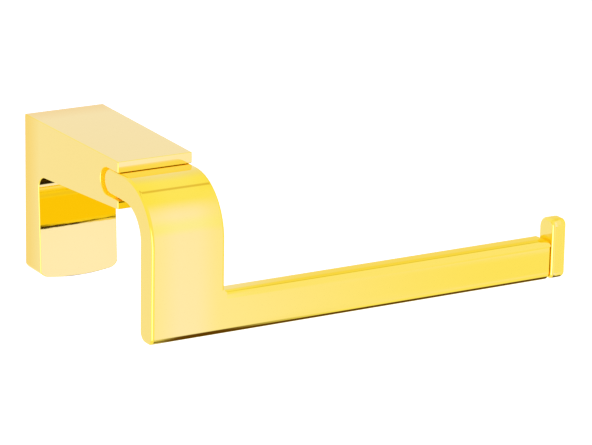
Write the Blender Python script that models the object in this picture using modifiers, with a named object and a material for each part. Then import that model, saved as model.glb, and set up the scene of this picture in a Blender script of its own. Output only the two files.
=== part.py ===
"""Toilet paper holder: a hollow wall bracket on a screwed wall plate, with a one-piece strap and bar.

Run with: blender --background --python part.py
Metres. +X runs along the bar to the end stop, +Y into the wall, +Z up.
The origin is the centre of the wall plate's back face, which lies on the wall.
"""

import math

import bmesh
import bpy
from mathutils import Vector

# ---------------------------------------------------------------- driving sizes
# Bracket body
BRACKET_WIDTH_AT_WALL = 0.0279
BRACKET_WIDTH_AT_FRONT = 0.0256
BRACKET_REACH = 0.0632
BRACKET_HEIGHT = 0.0530
BACK_PLATE_DEPTH = 0.0110
ARM_ROOT_EXTRA = 0.0032  # how much deeper the arm is at the back plate than at its front
UNDER_ARM_RADIUS = 0.0042
FOOT_ARCH_RADIUS = 0.0700
FOOT_CORNER_RADIUS = 0.0036
TOP_CORNER_RADIUS = 0.0006
BRACKET_WALL = 0.0025
FOOT_WALL = 0.0046
CAVITY_CORNER_RADIUS = 0.0030
OUTLINE_MARGIN = 0.00025  # front outline's stand-off from the bracket's sides and top

# Slot across the arm's front, which takes the strap's nose
UPPER_LIP = 0.0032
LOWER_LIP = 0.0027
SLOT_DEPTH = 0.0116
SLOT_WALL = 0.0051  # between the arm's hollow and the bottom of the slot

# Roll arm: strap and bar
STRAP_WIDTH = 0.0250
STRAP_THICKNESS = 0.0083
STRAP_LEAD = 0.0038  # straight run from the bracket's front to the bend
STRAP_BEND_RADIUS = 0.0185  # outer face
ARM_DROP = 0.0530  # bracket top to the bar's underside
BAR_END = 0.1325  # bracket centre to the bar's free end
BAR_HEIGHT = 0.0140
BAR_FOOT_RADIUS = 0.0032
BAR_TOP_RADIUS = 0.0028
BAR_END_RADIUS = 0.0025
INNER_CORNER_RADIUS = 0.0008

# End stop and its stud
END_STOP_THICKNESS = 0.0052
END_STOP_RISE = 0.0066  # its top above the bar
END_STOP_LIFT = 0.0006  # its foot above the bar's underside
END_STOP_PROUD = 0.0007  # its front past the bar's front face
END_STOP_SET_BACK = 0.0009  # its back short of the bar's back face
END_STOP_FRONT_RADIUS = 0.0012
END_STOP_BACK_RADIUS = 0.0039
END_STOP_INNER_RADIUS = 0.0010
END_STOP_OUTER_RADIUS = 0.0016
STUD_DIAMETER = 0.0040
STUD_LENGTH = 0.0115
STUD_IN_STOP = 0.0032
STUD_CHAMFER = 0.0004

# Wall plate
WALL_PLATE_THICKNESS = 0.0020
WALL_SCREW_INSET = 0.00955  # plate edge to screw centre
BOSS_MARGIN = 0.00125  # flat round the screw head
BOSS_LIFT = 0.0010
LOWER_SLOT_TRAVEL = 0.0024

# Fasteners
WALL_SCREW_DIAMETER = 0.0035
WALL_SCREW_LENGTH = 0.0220
WALL_SCREW_HEAD_DIAMETER = 0.0070
WALL_SCREW_HEAD_HEIGHT = 0.0023
WALL_SCREW_POINT = 0.0035  # length of the tapered point
CROSS_BLADE = 0.0010
CROSS_WING = 0.0040
CROSS_DEPTH = 0.0013
PLUG_WALL = 0.00095
PLUG_LENGTH = 0.0170
PLUG_TAPER = 0.0036  # length of its narrowing end
PLUG_NARROWING = 0.0007
PLUG_SLIT = 0.0010
PLUG_COLLAR = 0.0050  # unslit length at the wall's face
SET_SCREW_DIAMETER = 0.0040
SET_SCREW_RECESS = 0.0006  # how far its end lies inside the foot
SET_SCREW_CHAMFER = 0.0004
SET_SCREW_KEY = 0.0020  # across the socket's flats
SET_SCREW_SOCKET_DEPTH = 0.0022
ARM_SCREW_DIAMETER = 0.0030
ARM_SCREW_LENGTH = 0.0170
ARM_SCREW_HEAD_DIAMETER = 0.0055
ARM_SCREW_HEAD_HEIGHT = 0.0030
ARM_SCREW_INSET = 0.0043  # side of the arm's hollow to screw centre
ARM_SCREW_CHAMFER = 0.0004
ARM_SCREW_KEY = 0.0025  # across the socket's flats
ARM_SCREW_SOCKET_DEPTH = 0.0016
WASHER_DIAMETER = 0.0062
WASHER_THICKNESS = 0.0007
WASHER_SPLIT = 0.0006
BUSH_WALL = 0.0007
BUSH_LENGTH = 0.0062
BUSH_IN_WALL = 0.0024

# Clearances
TOUCH_GAP = 0.0003  # between faces that touch on the real object
PLATE_CLEARANCE = 0.0004  # round the wall plate, inside the bracket
FLANGE_CLEARANCE = 0.0013  # in front of the wall plate's flanges
SLOT_CLEARANCE = 0.00045  # above and below the strap in its slot
NOSE_GAP = 0.0015  # between the nose and the bottom of the slot
HOLE_CLEARANCE = 0.0005  # round a wall screw in its plate
OVERCUT = 0.0010  # how far a cutter runs past a face
SHORT_OF_TANGENT = 0.00001  # keeps two arcs of one outline from meeting in a point

# How finely curves are drawn
ROUND_STEPS = 24
ARCH_STEPS = 8
EDGE_STEPS = 4
ARC_STEP = math.radians(11.25)

# ---------------------------------------------------------------- places worked out from them
TOP = BRACKET_HEIGHT / 2
FOOT = -BRACKET_HEIGHT / 2
SLOT_HEIGHT = STRAP_THICKNESS + 2 * SLOT_CLEARANCE
SLOT_Z = TOP - UPPER_LIP - SLOT_HEIGHT / 2
SLOT_BOTTOM_Y = -(BRACKET_REACH - SLOT_DEPTH)
ARM_DEPTH_AT_FRONT = UPPER_LIP + SLOT_HEIGHT + LOWER_LIP
NOSE_Y = SLOT_BOTTOM_Y - NOSE_GAP
HOLLOW_FRONT_Y = SLOT_BOTTOM_Y + SLOT_WALL
HOLLOW_HALF_WIDTH = BRACKET_WIDTH_AT_FRONT / 2 - BRACKET_WALL
CAVITY_FRONT_Y = -(BACK_PLATE_DEPTH - BRACKET_WALL)
CAVITY_FOOT = FOOT + FOOT_WALL
CAVITY_TOP = TOP - BRACKET_WALL
CAVITY_HALF_WIDTH = BRACKET_WIDTH_AT_WALL / 2 - BRACKET_WALL
BAR_FOOT = TOP - ARM_DROP
BAR_TOP = BAR_FOOT + BAR_HEIGHT
BAR_FRONT_Y = -(BRACKET_REACH + STRAP_LEAD + STRAP_BEND_RADIUS)
BAR_BACK_Y = BAR_FRONT_Y + STRAP_THICKNESS
BAR_MIDDLE_Y = (BAR_FRONT_Y + BAR_BACK_Y) / 2
BAR_MIDDLE_Z = BAR_FOOT + BAR_HEIGHT / 2
END_STOP_X = BAR_END + TOUCH_GAP
PLATE_TOP = CAVITY_TOP - PLATE_CLEARANCE
PLATE_FOOT = CAVITY_FOOT + PLATE_CLEARANCE
PLATE_HALF_WIDTH = CAVITY_HALF_WIDTH - PLATE_CLEARANCE
PLATE_FLANGE_Y = CAVITY_FRONT_Y + FLANGE_CLEARANCE
WALL_SCREW_SEAT_Y = -(WALL_PLATE_THICKNESS + BOSS_LIFT + TOUCH_GAP)
WALL_SCREW_Z = {"upper": PLATE_TOP - WALL_SCREW_INSET, "lower": PLATE_FOOT + WALL_SCREW_INSET}
PLUG_DIAMETER = WALL_SCREW_DIAMETER + 2 * (TOUCH_GAP + PLUG_WALL)
SET_SCREW_Y = (PLATE_FLANGE_Y - WALL_PLATE_THICKNESS) / 2
SET_SCREW_LENGTH = FOOT_WALL + PLATE_CLEARANCE - TOUCH_GAP - SET_SCREW_RECESS
ARM_SCREW_SEAT_Y = HOLLOW_FRONT_Y + 2 * TOUCH_GAP + WASHER_THICKNESS
ARM_SCREW_HALF_SPACING = HOLLOW_HALF_WIDTH - ARM_SCREW_INSET
ARM_SCREW_X = {"left": -ARM_SCREW_HALF_SPACING, "right": ARM_SCREW_HALF_SPACING}
BUSH_DIAMETER = ARM_SCREW_DIAMETER + 2 * (TOUCH_GAP + BUSH_WALL)
BUSH_FRONT_Y = SLOT_BOTTOM_Y + BUSH_IN_WALL - BUSH_LENGTH


# ---------------------------------------------------------------- scene, collections, materials
def clear_scene():
    for thing in list(bpy.data.objects):
        bpy.data.objects.remove(thing, do_unlink=True)


def collection(name):
    made = bpy.data.collections.new(name)
    bpy.context.scene.collection.children.link(made)
    return made


def material(name, colour, roughness, metallic):
    made = bpy.data.materials.new(name)
    made.use_nodes = True
    shader = made.node_tree.nodes["Principled BSDF"]
    shader.inputs["Base Color"].default_value = (*colour, 1.0)
    shader.inputs["Roughness"].default_value = roughness
    shader.inputs["Metallic"].default_value = metallic
    made.diffuse_color = (*colour, 1.0)
    return made


clear_scene()
PARTS = collection("toilet_paper_holder")
CUTTERS = collection("cutters")
MATERIALS = {
    "bracket_gold": material("bracket_gold", (1.0, 0.80, 0.33), 0.08, 1.0),
    "arm_gold": material("arm_gold", (1.0, 0.80, 0.33), 0.07, 1.0),
    "stop_gold": material("stop_gold", (1.0, 0.79, 0.32), 0.08, 1.0),
    "zinc_plate": material("zinc_plate", (0.62, 0.64, 0.66), 0.35, 1.0),
    "steel": material("steel", (0.56, 0.57, 0.58), 0.30, 1.0),
    "black_steel": material("black_steel", (0.05, 0.05, 0.055), 0.45, 1.0),
    "brass": material("brass", (0.80, 0.62, 0.28), 0.30, 1.0),
    "nylon": material("nylon", (0.62, 0.63, 0.62), 0.55, 0.0),
}


# ---------------------------------------------------------------- shape tools
def rounded_outline(corners):
    """Points of a closed outline from (a, b, radius) corners, with an arc at each corner that has a radius."""
    points = []
    for i, (a, b, radius) in enumerate(corners):
        here = Vector((a, b))
        if radius == 0:
            points.append(here)
            continue
        before = Vector(corners[i - 1][:2]) - here
        after = Vector(corners[(i + 1) % len(corners)][:2]) - here
        half = before.angle(after) / 2
        reach = radius / math.tan(half)
        start = here + before.normalized() * reach
        middle = here + (before.normalized() + after.normalized()).normalized() * radius / math.sin(half)
        spoke = start - middle
        turn = math.pi - 2 * half
        if before.cross(after) > 0:
            turn = -turn
        steps = max(2, round(abs(turn) / ARC_STEP))
        for k in range(steps + 1):
            angle = turn * k / steps
            points.append(middle + Vector((
                spoke.x * math.cos(angle) - spoke.y * math.sin(angle),
                spoke.x * math.sin(angle) + spoke.y * math.cos(angle),
            )))
    return [p for i, p in enumerate(points) if (p - points[i - 1]).length > 1e-6]


def place(thing, group, parent=None, finish=None):
    for old in list(thing.users_collection):
        old.objects.unlink(thing)
    group.objects.link(thing)
    thing.parent = parent
    if finish:
        thing.data.materials.clear()
        thing.data.materials.append(MATERIALS[finish])
    if group is CUTTERS:
        thing.hide_render = True
        thing.display_type = "WIRE"
    return thing


def extrusion(name, outline, thickness, location, rotation):
    """A solid with a flat outline, made from a filled 2D curve. It is centred on its own thickness."""
    curve = bpy.data.curves.new(name, "CURVE")
    curve.dimensions = "2D"
    curve.fill_mode = "BOTH"
    curve.extrude = thickness / 2
    spline = curve.splines.new("POLY")
    spline.points.add(len(outline) - 1)
    for point, at in zip(spline.points, outline):
        point.co = (at[0], at[1], 0.0, 1.0)
    spline.use_cyclic_u = True
    drawn = bpy.data.objects.new(name + "_curve", curve)
    bpy.context.scene.collection.objects.link(drawn)
    bpy.context.view_layer.update()
    mesh = bpy.data.meshes.new_from_object(drawn.evaluated_get(bpy.context.evaluated_depsgraph_get()))
    bpy.data.objects.remove(drawn, do_unlink=True)
    shell = bmesh.new()
    shell.from_mesh(mesh)
    bmesh.ops.remove_doubles(shell, verts=shell.verts, dist=1e-6)
    bmesh.ops.recalc_face_normals(shell, faces=shell.faces)
    shell.to_mesh(mesh)
    shell.free()
    mesh.name = name
    made = bpy.data.objects.new(name, mesh)
    made.location = location
    made.rotation_euler = rotation
    return made


def side_view(name, outline, low_x, high_x):
    """An outline in Y and Z, extruded from low_x to high_x."""
    turned_up = (math.pi / 2, 0, math.pi / 2)
    return extrusion(name, outline, high_x - low_x, ((low_x + high_x) / 2, 0, 0), turned_up)


def front_view(name, outline, low_y, high_y):
    """An outline in X and Z, extruded from low_y to high_y."""
    return extrusion(name, outline, high_y - low_y, (0, (low_y + high_y) / 2, 0), (math.pi / 2, 0, 0))


def plan_view(name, outline, low_z, high_z):
    """An outline in X and Y, extruded from low_z to high_z."""
    return extrusion(name, outline, high_z - low_z, (0, 0, (low_z + high_z) / 2), (0, 0, 0))


def turned(name, profile, location, rotation, closed=False):
    """A turned piece about its own Z, from (radius, height) points that run down its outer side."""
    mesh = bpy.data.meshes.new(name)
    links = [(i, i + 1) for i in range(len(profile) - 1)]
    if closed:
        links.append((len(profile) - 1, 0))
    mesh.from_pydata([(radius, 0, height) for radius, height in profile], links, [])
    made = bpy.data.objects.new(name, mesh)
    spin = made.modifiers.new("Turn", "SCREW")
    spin.steps = ROUND_STEPS
    spin.render_steps = ROUND_STEPS
    spin.use_merge_vertices = True
    spin.merge_threshold = 0.00001
    made.location = location
    made.rotation_euler = rotation
    return made


def rod(name, diameter, start, end, sides=ROUND_STEPS):
    """A plain cylinder between two points."""
    start, end = Vector(start), Vector(end)
    bpy.ops.mesh.primitive_cylinder_add(
        vertices=sides, radius=diameter / 2, depth=(end - start).length, location=(start + end) / 2
    )
    made = bpy.context.object
    made.name = name
    made.rotation_euler = (end - start).to_track_quat("Z", "Y").to_euler()
    return made


def block(name, low, high):
    """A plain box between two opposite corners, with its scale applied."""
    low, high = Vector(low), Vector(high)
    mesh = bpy.data.meshes.new(name)
    cube = bmesh.new()
    bmesh.ops.create_cube(cube, size=1.0)
    bmesh.ops.scale(cube, vec=high - low, verts=cube.verts)
    cube.to_mesh(mesh)
    cube.free()
    made = bpy.data.objects.new(name, mesh)
    made.location = (low + high) / 2
    return made


def combine(body, cutter, operation="DIFFERENCE"):
    step = body.modifiers.new(cutter.name, "BOOLEAN")
    step.operation = operation
    step.object = place(cutter, CUTTERS)
    return step


def smooth(thing):
    thing.data.shade_smooth()
    thing.data.set_sharp_from_angle(angle=math.radians(35))


# ---------------------------------------------------------------- bracket body
def under_arm(y):
    """Height of the arm's sloping underside at y."""
    share = (-y - BACK_PLATE_DEPTH) / (BRACKET_REACH - BACK_PLATE_DEPTH)
    return TOP - ARM_DEPTH_AT_FRONT - (1 - share) * ARM_ROOT_EXTRA


def bracket_body(parent):
    half_slot = SLOT_HEIGHT / 2
    front = -BRACKET_REACH
    body = side_view("bracket_body", rounded_outline([
        (0, TOP, 0),
        (front, TOP, 0),
        (front, SLOT_Z + half_slot, 0),
        (SLOT_BOTTOM_Y, SLOT_Z + half_slot, half_slot),
        (SLOT_BOTTOM_Y, SLOT_Z - half_slot, half_slot),
        (front, SLOT_Z - half_slot, 0),
        (front, under_arm(front), 0),
        (-BACK_PLATE_DEPTH, under_arm(-BACK_PLATE_DEPTH), UNDER_ARM_RADIUS),
        (-BACK_PLATE_DEPTH, FOOT, 0),
        (0, FOOT, 0),
    ]), -BRACKET_WIDTH_AT_WALL / 2 - OVERCUT, BRACKET_WIDTH_AT_WALL / 2 + OVERCUT)
    place(body, PARTS, parent, "bracket_gold")

    back, tip = BRACKET_WIDTH_AT_WALL / 2, BRACKET_WIDTH_AT_FRONT / 2
    spread = (back - tip) / BRACKET_REACH * OVERCUT
    combine(body, plan_view("bracket_plan", [
        (-back - spread, OVERCUT), (-tip + spread, front - OVERCUT),
        (tip - spread, front - OVERCUT), (back + spread, OVERCUT),
    ], FOOT - OVERCUT, TOP + OVERCUT), "INTERSECT")

    side = BRACKET_WIDTH_AT_WALL / 2 + OUTLINE_MARGIN
    arch_end = side - FOOT_CORNER_RADIUS - OUTLINE_MARGIN
    arch = []
    for k in range(ARCH_STEPS + 1):
        x = -arch_end + 2 * arch_end * k / ARCH_STEPS
        arch.append((x, FOOT + FOOT_ARCH_RADIUS - math.sqrt(FOOT_ARCH_RADIUS**2 - x**2), 0))
    slope = arch_end / math.sqrt(FOOT_ARCH_RADIUS**2 - arch_end**2)
    corner_z = arch[0][1] + slope * (side - arch_end)
    combine(body, front_view("bracket_front", rounded_outline([
        (-side, TOP + OUTLINE_MARGIN, TOP_CORNER_RADIUS),
        (-side, corner_z, FOOT_CORNER_RADIUS),
        *arch,
        (side, corner_z, FOOT_CORNER_RADIUS),
        (side, TOP + OUTLINE_MARGIN, TOP_CORNER_RADIUS),
    ]), front - OVERCUT, OVERCUT), "INTERSECT")

    combine(body, front_view("plate_cavity", rounded_outline([
        (-CAVITY_HALF_WIDTH, CAVITY_TOP, CAVITY_CORNER_RADIUS),
        (-CAVITY_HALF_WIDTH, CAVITY_FOOT, CAVITY_CORNER_RADIUS),
        (CAVITY_HALF_WIDTH, CAVITY_FOOT, CAVITY_CORNER_RADIUS),
        (CAVITY_HALF_WIDTH, CAVITY_TOP, CAVITY_CORNER_RADIUS),
    ]), CAVITY_FRONT_Y, OVERCUT))

    hollow_back = CAVITY_FRONT_Y + OVERCUT
    combine(body, side_view("arm_hollow", rounded_outline([
        (hollow_back, CAVITY_TOP, 0),
        (HOLLOW_FRONT_Y, CAVITY_TOP, 0),
        (HOLLOW_FRONT_Y, under_arm(HOLLOW_FRONT_Y) + BRACKET_WALL, 0),
        (hollow_back, under_arm(hollow_back) + BRACKET_WALL, 0),
    ]), -HOLLOW_HALF_WIDTH, HOLLOW_HALF_WIDTH))

    for side_name, x in ARM_SCREW_X.items():
        combine(body, rod(f"arm_screw_hole_{side_name}", ARM_SCREW_DIAMETER + 2 * TOUCH_GAP,
                          (x, HOLLOW_FRONT_Y + OVERCUT, SLOT_Z), (x, SLOT_BOTTOM_Y - half_slot, SLOT_Z)))
        combine(body, rod(f"bush_seat_{side_name}", BUSH_DIAMETER + 2 * TOUCH_GAP,
                          (x, SLOT_BOTTOM_Y + BUSH_IN_WALL + TOUCH_GAP, SLOT_Z),
                          (x, SLOT_BOTTOM_Y - half_slot, SLOT_Z)))

    thread = SET_SCREW_DIAMETER + 2 * TOUCH_GAP
    combine(body, rod("set_screw_hole", thread, (0, SET_SCREW_Y, FOOT - OVERCUT),
                      (0, SET_SCREW_Y, CAVITY_FOOT + OVERCUT)))
    smooth(body)


# ---------------------------------------------------------------- roll arm
def roll_arm(parent):
    half = STRAP_THICKNESS / 2
    inner_radius = STRAP_BEND_RADIUS - STRAP_THICKNESS
    arm = side_view("roll_arm", rounded_outline([
        (NOSE_Y, SLOT_Z - half, half),
        (NOSE_Y, SLOT_Z + half, half),
        (BAR_FRONT_Y, SLOT_Z + half, STRAP_BEND_RADIUS),
        (BAR_FRONT_Y, BAR_FOOT, BAR_FOOT_RADIUS),
        (BAR_BACK_Y, BAR_FOOT, BAR_FOOT_RADIUS),
        (BAR_BACK_Y, SLOT_Z - half, inner_radius),
    ]), -STRAP_WIDTH / 2, BAR_END)
    place(arm, PARTS, parent, "arm_gold")

    side = STRAP_WIDTH / 2
    high = SLOT_Z + half + OVERCUT
    low = BAR_FOOT - OVERCUT
    combine(arm, front_view("strap_and_bar", rounded_outline([
        (-side - OVERCUT, high, 0),
        (-side - OVERCUT, low, 0),
        (BAR_END + OVERCUT, low, 0),
        (BAR_END + OVERCUT, BAR_TOP - BAR_END_RADIUS, 0),
        (BAR_END, BAR_TOP - BAR_END_RADIUS, 0),
        (BAR_END, BAR_TOP, BAR_END_RADIUS - SHORT_OF_TANGENT),
        (side, BAR_TOP, INNER_CORNER_RADIUS),
        (side, high, 0),
    ]), BAR_FRONT_Y - OVERCUT, NOSE_Y + OVERCUT), "INTERSECT")

    for name, y, outward in (("front", BAR_FRONT_Y, -1), ("back", BAR_BACK_Y, 1)):
        centre_y, centre_z = y - outward * BAR_TOP_RADIUS, BAR_TOP - BAR_TOP_RADIUS
        past_face = y + outward * OVERCUT
        trim = [(past_face, centre_z), (y, centre_z)]
        for k in range(1, EDGE_STEPS):
            angle = math.pi / 2 * k / EDGE_STEPS
            trim.append((centre_y + outward * BAR_TOP_RADIUS * math.cos(angle),
                         centre_z + BAR_TOP_RADIUS * math.sin(angle)))
        trim += [(centre_y, BAR_TOP), (centre_y, BAR_TOP + OVERCUT), (past_face, BAR_TOP + OVERCUT)]
        combine(arm, side_view(f"bar_top_edge_{name}", trim,
                               side + INNER_CORNER_RADIUS, BAR_END + OVERCUT))

    thread_end = ARM_SCREW_SEAT_Y + TOUCH_GAP - ARM_SCREW_LENGTH - OVERCUT
    for side_name, x in ARM_SCREW_X.items():
        combine(arm, rod(f"arm_screw_thread_{side_name}", ARM_SCREW_DIAMETER + 2 * TOUCH_GAP,
                         (x, NOSE_Y + OVERCUT, SLOT_Z), (x, thread_end, SLOT_Z)))
        combine(arm, rod(f"bush_socket_{side_name}", BUSH_DIAMETER + 2 * TOUCH_GAP,
                         (x, NOSE_Y + OVERCUT, SLOT_Z), (x, BUSH_FRONT_Y - TOUCH_GAP, SLOT_Z)))

    bore_end = END_STOP_X + STUD_IN_STOP - STUD_LENGTH - TOUCH_GAP
    combine(arm, rod("stud_bore_in_bar", STUD_DIAMETER + 2 * TOUCH_GAP,
                     (bore_end, BAR_MIDDLE_Y, BAR_MIDDLE_Z), (BAR_END + OVERCUT, BAR_MIDDLE_Y, BAR_MIDDLE_Z)))
    smooth(arm)


# ---------------------------------------------------------------- end stop
def end_stop(parent):
    front = BAR_FRONT_Y - END_STOP_PROUD
    back = BAR_BACK_Y - END_STOP_SET_BACK
    foot = BAR_FOOT + END_STOP_LIFT
    head = BAR_TOP + END_STOP_RISE
    outer = END_STOP_X + END_STOP_THICKNESS
    stop = side_view("end_stop", rounded_outline([
        (front, head, END_STOP_FRONT_RADIUS),
        (front, foot, END_STOP_FRONT_RADIUS),
        (back, foot, END_STOP_BACK_RADIUS),
        (back, head, END_STOP_BACK_RADIUS),
    ]), END_STOP_X - OVERCUT, outer + OVERCUT)
    place(stop, PARTS, parent, "stop_gold")
    combine(stop, front_view("end_stop_front", rounded_outline([
        (END_STOP_X, head, END_STOP_INNER_RADIUS),
        (END_STOP_X, foot, END_STOP_INNER_RADIUS),
        (outer, foot, END_STOP_OUTER_RADIUS / 2),
        (outer, head, END_STOP_OUTER_RADIUS),
    ]), front - OVERCUT, back + OVERCUT), "INTERSECT")
    combine(stop, rod("stud_bore_in_stop", STUD_DIAMETER + 2 * TOUCH_GAP,
                      (END_STOP_X - OVERCUT, BAR_MIDDLE_Y, BAR_MIDDLE_Z),
                      (END_STOP_X + STUD_IN_STOP + TOUCH_GAP, BAR_MIDDLE_Y, BAR_MIDDLE_Z)))
    smooth(stop)


def end_stop_stud(parent):
    radius, edge = STUD_DIAMETER / 2, STUD_CHAMFER
    stud = turned("end_stop_stud", [
        (0, 0), (radius - edge, 0), (radius, -edge), (radius, edge - STUD_LENGTH),
        (radius - edge, -STUD_LENGTH), (0, -STUD_LENGTH),
    ], (END_STOP_X + STUD_IN_STOP, BAR_MIDDLE_Y, BAR_MIDDLE_Z), (0, math.pi / 2, 0))
    place(stud, PARTS, parent, "steel")
    smooth(stud)


# ---------------------------------------------------------------- wall plate and what holds it
def wall_plate():
    half_width = PLATE_HALF_WIDTH
    corner = CAVITY_CORNER_RADIUS - PLATE_CLEARANCE / 2
    plate = front_view("wall_plate", rounded_outline([
        (-half_width, PLATE_TOP, corner), (-half_width, PLATE_FOOT, corner),
        (half_width, PLATE_FOOT, corner), (half_width, PLATE_TOP, corner),
    ]), PLATE_FLANGE_Y, 0)
    place(plate, PARTS, None, "zinc_plate")
    inner_top = PLATE_TOP - WALL_PLATE_THICKNESS
    inner_foot = PLATE_FOOT + WALL_PLATE_THICKNESS
    combine(plate, block("between_flanges", (-half_width - OVERCUT, PLATE_FLANGE_Y - OVERCUT, inner_foot),
                         (half_width + OVERCUT, -WALL_PLATE_THICKNESS, inner_top)))
    boss_hollow = WALL_SCREW_HEAD_DIAMETER + 2 * BOSS_MARGIN
    boss = boss_hollow + WALL_PLATE_THICKNESS
    for which, z in WALL_SCREW_Z.items():
        combine(plate, rod(f"boss_{which}", boss, (0, -WALL_PLATE_THICKNESS - BOSS_LIFT, z),
                           (0, -WALL_PLATE_THICKNESS / 2, z)), "UNION")
        combine(plate, rod(f"boss_hollow_{which}", boss_hollow, (0, OVERCUT, z), (0, -BOSS_LIFT, z)))
        radius = WALL_SCREW_DIAMETER / 2 + HOLE_CLEARANCE
        if which == "lower":
            tall, corner = LOWER_SLOT_TRAVEL / 2 + radius, radius - SHORT_OF_TANGENT
            hole = front_view(f"screw_slot_{which}", rounded_outline([
                (-radius, z + tall, corner), (-radius, z - tall, corner),
                (radius, z - tall, corner), (radius, z + tall, corner),
            ]), PLATE_FLANGE_Y, OVERCUT)
        else:
            hole = rod(f"screw_hole_{which}", 2 * radius, (0, OVERCUT, z), (0, PLATE_FLANGE_Y, z))
        combine(plate, hole)
    smooth(plate)


def wall_screw(which, z):
    shank, head = WALL_SCREW_DIAMETER / 2, WALL_SCREW_HEAD_DIAMETER / 2
    tall = WALL_SCREW_HEAD_HEIGHT
    screw = turned(f"wall_screw_{which}", [
        (0, tall), (head * 0.45, tall * 0.96), (head * 0.78, tall * 0.78), (head * 0.96, tall * 0.45),
        (head, 0), (shank, 0), (shank, WALL_SCREW_POINT - WALL_SCREW_LENGTH), (shank / 5, -WALL_SCREW_LENGTH),
        (0, -WALL_SCREW_LENGTH),
    ], (0, WALL_SCREW_SEAT_Y, z), (math.pi / 2, 0, 0))
    place(screw, PARTS, None, "steel")
    low_y = WALL_SCREW_SEAT_Y - tall - OVERCUT
    high_y = WALL_SCREW_SEAT_Y - tall + CROSS_DEPTH
    blade, wing = CROSS_BLADE / 2, CROSS_WING / 2
    combine(screw, block(f"cross_upright_{which}", (-blade, low_y, z - wing), (blade, high_y, z + wing)))
    combine(screw, block(f"cross_level_{which}", (-wing, low_y, z - blade), (wing, high_y, z + blade)))
    smooth(screw)


def wall_plug(which, z):
    outer = PLUG_DIAMETER / 2
    inner = WALL_SCREW_DIAMETER / 2 + TOUCH_GAP
    plug = turned(f"wall_plug_{which}", [
        (inner, 0), (outer, 0), (outer, PLUG_TAPER - PLUG_LENGTH),
        (outer - PLUG_NARROWING, -PLUG_LENGTH), (inner, -PLUG_LENGTH),
    ], (0, TOUCH_GAP, z), (math.pi / 2, 0, 0), closed=True)
    place(plug, PARTS, None, "nylon")
    combine(plug, block(f"plug_slit_{which}",
                        (-PLUG_SLIT / 2, TOUCH_GAP + PLUG_COLLAR, z - outer - OVERCUT),
                        (PLUG_SLIT / 2, TOUCH_GAP + PLUG_LENGTH + OVERCUT, z + outer + OVERCUT)))
    smooth(plug)


def set_screw(parent):
    radius, edge = SET_SCREW_DIAMETER / 2, SET_SCREW_CHAMFER
    tip = PLATE_FOOT - TOUCH_GAP
    screw = turned("set_screw", [
        (0, 0), (radius - 2 * edge, 0), (radius, -2 * edge), (radius, edge - SET_SCREW_LENGTH),
        (radius - edge, -SET_SCREW_LENGTH), (0, -SET_SCREW_LENGTH),
    ], (0, SET_SCREW_Y, tip), (0, 0, 0))
    place(screw, PARTS, parent, "black_steel")
    foot = tip - SET_SCREW_LENGTH
    combine(screw, rod("set_screw_socket", SET_SCREW_KEY / math.cos(math.pi / 6),
                       (0, SET_SCREW_Y, foot - OVERCUT),
                       (0, SET_SCREW_Y, foot + SET_SCREW_SOCKET_DEPTH), sides=6))
    smooth(screw)


# ---------------------------------------------------------------- what holds the arm in the bracket
def arm_fasteners(parent, side_name, x):
    shank, head = ARM_SCREW_DIAMETER / 2, ARM_SCREW_HEAD_DIAMETER / 2
    tall, edge, length = ARM_SCREW_HEAD_HEIGHT, ARM_SCREW_CHAMFER, ARM_SCREW_LENGTH
    towards_wall = (-math.pi / 2, 0, 0)
    screw = turned(f"arm_screw_{side_name}", [
        (0, tall), (head - edge, tall), (head, tall - edge), (head, 0), (shank, 0),
        (shank, edge - length), (shank - edge, -length), (0, -length),
    ], (x, ARM_SCREW_SEAT_Y, SLOT_Z), towards_wall)
    place(screw, PARTS, parent, "black_steel")
    combine(screw, rod(f"arm_screw_socket_{side_name}", ARM_SCREW_KEY / math.cos(math.pi / 6),
                       (x, ARM_SCREW_SEAT_Y + tall - ARM_SCREW_SOCKET_DEPTH, SLOT_Z),
                       (x, ARM_SCREW_SEAT_Y + tall + OVERCUT, SLOT_Z), sides=6))
    smooth(screw)

    hole = shank + TOUCH_GAP
    washer = turned(f"arm_washer_{side_name}", [
        (hole, WASHER_THICKNESS), (WASHER_DIAMETER / 2, WASHER_THICKNESS),
        (WASHER_DIAMETER / 2, 0), (hole, 0),
    ], (x, HOLLOW_FRONT_Y + TOUCH_GAP, SLOT_Z), towards_wall, closed=True)
    place(washer, PARTS, parent, "steel")
    combine(washer, block(f"washer_split_{side_name}",
                          (x - WASHER_SPLIT / 2, HOLLOW_FRONT_Y, SLOT_Z),
                          (x + WASHER_SPLIT / 2, ARM_SCREW_SEAT_Y, SLOT_Z + WASHER_DIAMETER)))
    smooth(washer)

    bush = turned(f"arm_bush_{side_name}", [
        (hole, BUSH_LENGTH), (BUSH_DIAMETER / 2, BUSH_LENGTH), (BUSH_DIAMETER / 2, 0), (hole, 0),
    ], (x, BUSH_FRONT_Y, SLOT_Z), towards_wall, closed=True)
    place(bush, PARTS, parent, "brass")
    smooth(bush)


def build():
    holder = bpy.data.objects.new("holder_pull_off", None)
    PARTS.objects.link(holder)
    wall_plate()
    for which, z in WALL_SCREW_Z.items():
        wall_screw(which, z)
        wall_plug(which, z)
    bracket_body(holder)
    set_screw(holder)
    roll_arm(holder)
    for side_name, x in ARM_SCREW_X.items():
        arm_fasteners(holder, side_name, x)
    end_stop(holder)
    end_stop_stud(holder)


build()
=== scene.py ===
import math

import bmesh
import bpy
from mathutils import Matrix, Vector


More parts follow.
